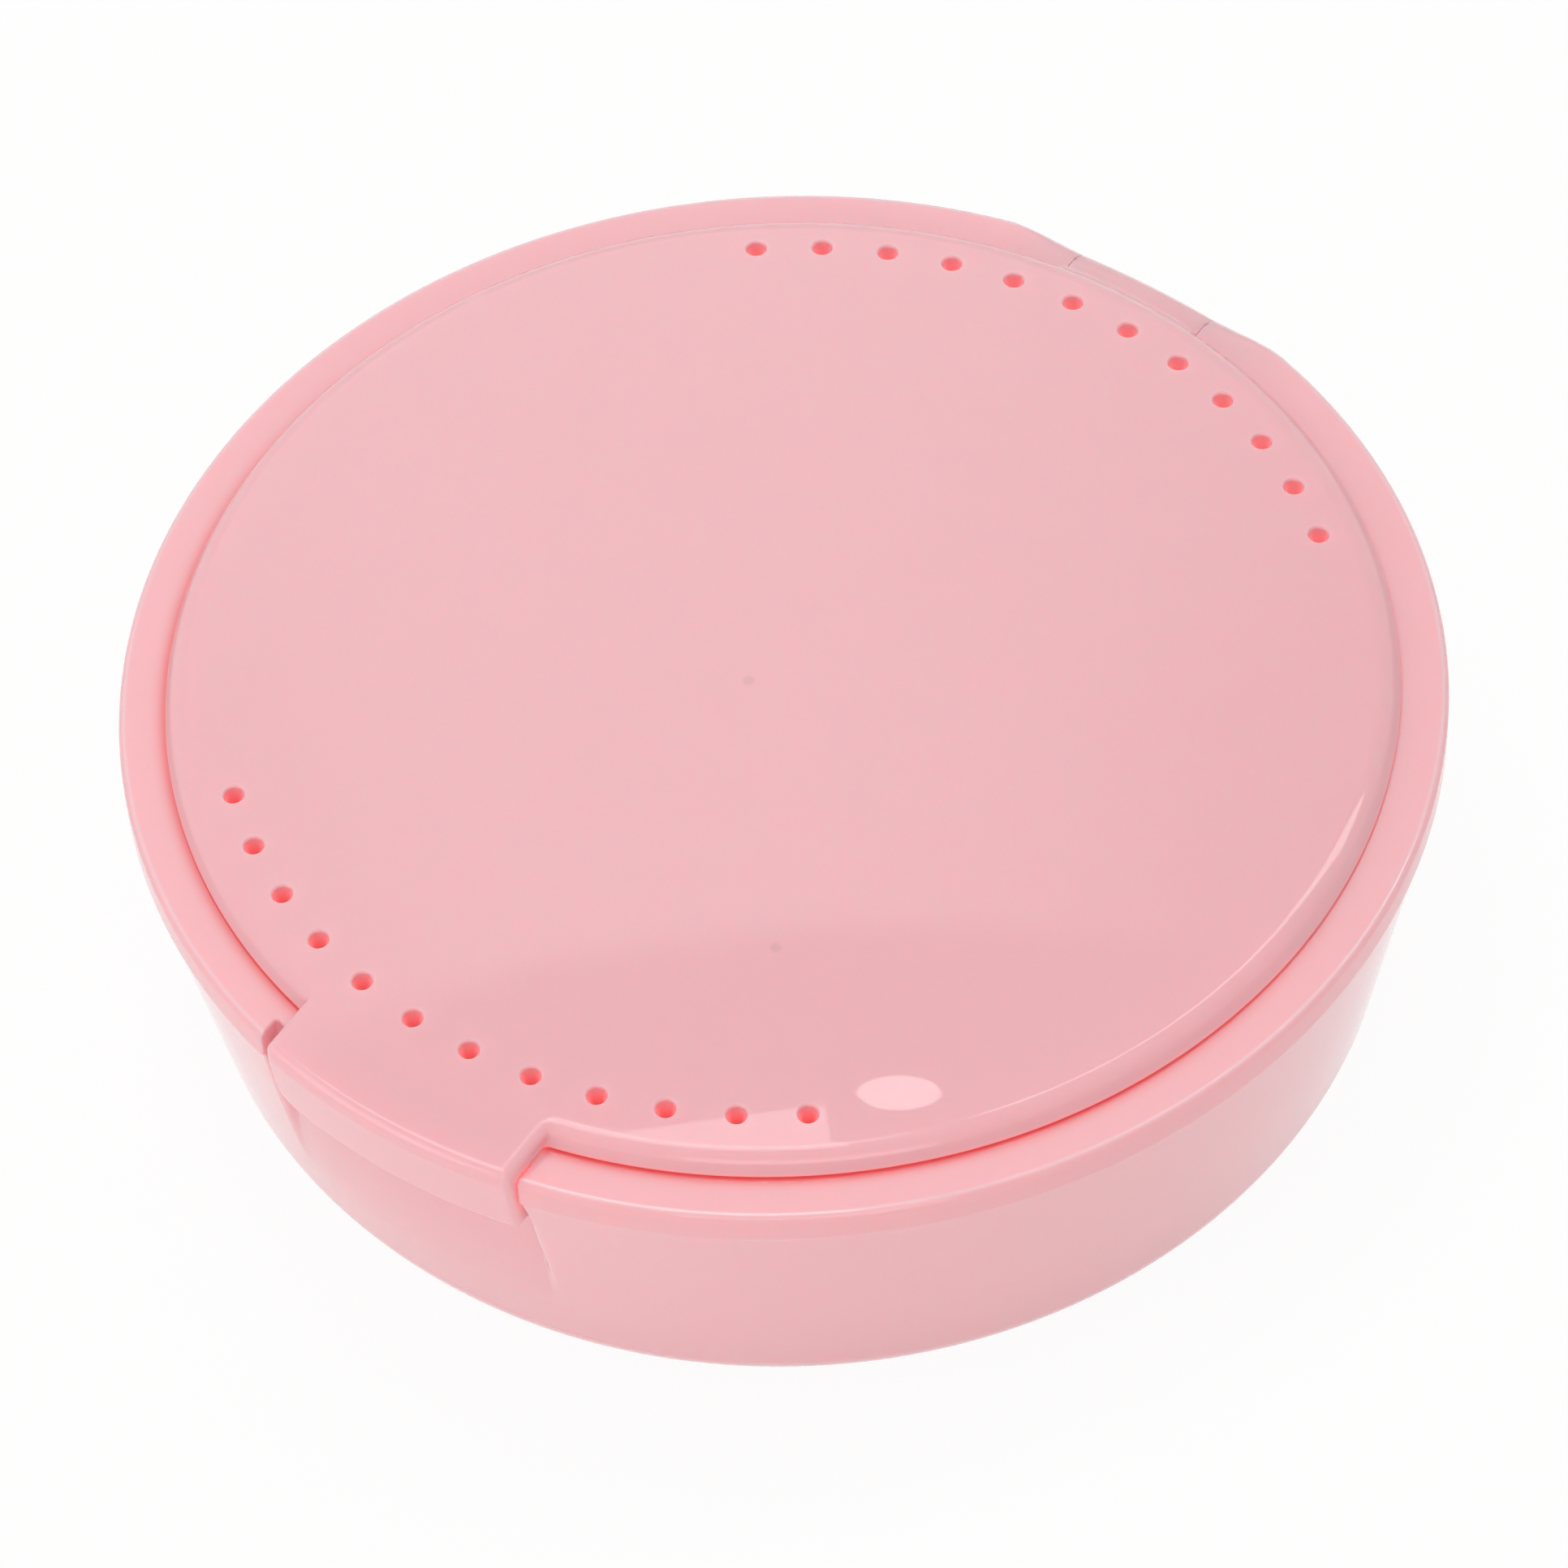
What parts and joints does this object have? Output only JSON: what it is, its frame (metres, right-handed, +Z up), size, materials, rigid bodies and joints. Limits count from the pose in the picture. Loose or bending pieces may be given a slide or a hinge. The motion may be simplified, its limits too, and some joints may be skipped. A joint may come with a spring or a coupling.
{
  "type": "retainer case",
  "caption": "Round hinged case for a dental retainer: tapered moulded tray with a flat rim, and a low domed lid with rows of vent holes and a snap clasp tab at the front.",
  "frame": {"origin": "centre of the flat underside of the tray, on the axis of the round wall", "axes": "+Z up through the lid, -Y towards the clasp tab, +Y towards the hinge, +X along the hinge pin to the right seen from the clasp"},
  "size_m": [0.08, 0.0802, 0.0248],
  "materials": {
    "tray_plastic": "glossy moulded polypropylene, pale pink, slightly translucent",
    "lid_plastic": "glossy moulded polypropylene, pale pink, slightly translucent",
    "pin_steel": "drawn stainless wire"
  },
  "bodies": {
    "tray": {"base_tray": "tray_plastic", "hinge_pin": "pin_steel"},
    "cover": {"lid": "lid_plastic"}
  },
  "joints": [
    {"name": "lid_hinge", "type": "hinge", "parent": "tray", "child": "cover", "pos_m": [0, 0.0378, 0.0201], "axis": [-1, 0, 0], "range_deg": [0, 150]}
  ]
}
